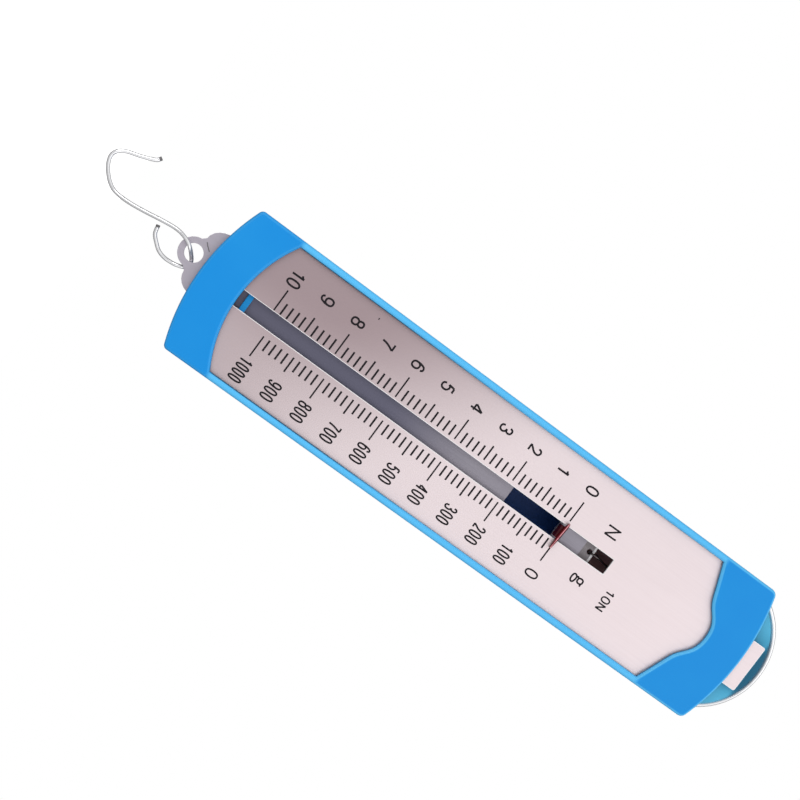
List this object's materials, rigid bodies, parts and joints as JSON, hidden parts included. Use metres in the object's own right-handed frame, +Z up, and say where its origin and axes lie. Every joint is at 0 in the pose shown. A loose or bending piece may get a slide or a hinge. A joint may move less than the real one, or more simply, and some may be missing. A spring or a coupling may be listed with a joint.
{
  "type": "spring force meter",
  "caption": "Flat box spring force meter: plastic case, sliding scale plate, pointer in a slot, pull plate with wire hook and a pull-out wire hanging loop.",
  "frame": {"origin": "inside of the hanging loop's crown, where the loop rests on whatever it hangs from", "axes": "+Z up along the pull direction towards the hanging loop; -Y out of the scale's face; +X to the right as the scale is read"},
  "size_m": [0.0448, 0.0167, 0.2335],
  "materials": {
    "blue_case": "moulded, soft gloss",
    "blue_guide": "moulded",
    "white_guide": "natural, smooth",
    "scale_aluminium": "satin anodised, printed scale",
    "pull_steel": "rolled sheet, satin",
    "pointer_red": "moulded, gloss",
    "spring_steel": "bright drawn wire",
    "screw_steel": "bright plated",
    "chrome_wire": "bright chrome plating",
    "foam": "closed-cell foam"
  },
  "bodies": {
    "housing": {"front_bezel": "blue_case", "rear_shell": "blue_case", "guide_bridge": "blue_guide", "rear_guide_pad": "white_guide", "plate_foam_left": "foam", "plate_foam_right": "foam", "spring": "spring_steel", "spring_anchor": "screw_steel", "anchor_screw": "screw_steel", "bridge_screw_left": "screw_steel", "bridge_screw_right": "screw_steel", "case_screw_upper_left": "screw_steel", "case_screw_upper_right": "screw_steel", "case_screw_lower_left": "screw_steel", "case_screw_lower_right": "screw_steel"},
    "loop": {"hanging_loop": "chrome_wire"},
    "plate": {"scale_plate": "scale_aluminium"},
    "pull": {"pull_plate": "pull_steel", "pointer": "pointer_red", "pointer_rivet": "screw_steel"},
    "hook": {"load_hook": "chrome_wire"}
  },
  "joints": [
    {"name": "loop_slide", "type": "slide", "parent": "housing", "child": "loop", "axis": [0, 0, 1], "range_m": [0, 0.012]},
    {"name": "zero_adjust", "type": "slide", "parent": "housing", "child": "plate", "axis": [0, 0, 1], "range_m": [-0.0015, 0.0015]},
    {"name": "pull_slide", "type": "slide", "parent": "housing", "child": "pull", "axis": [0, 0, -1], "range_m": [0, 0.1045], "stiffness_N_per_m": 100, "springref_m": -0.002, "deforming": ["spring"]},
    {"name": "hook_swing", "type": "hinge", "parent": "pull", "child": "hook", "pos_m": [-0.0024, -0.0022, -0.1996], "axis": [0, 1, 0], "range_deg": [-40, 40]}
  ]
}
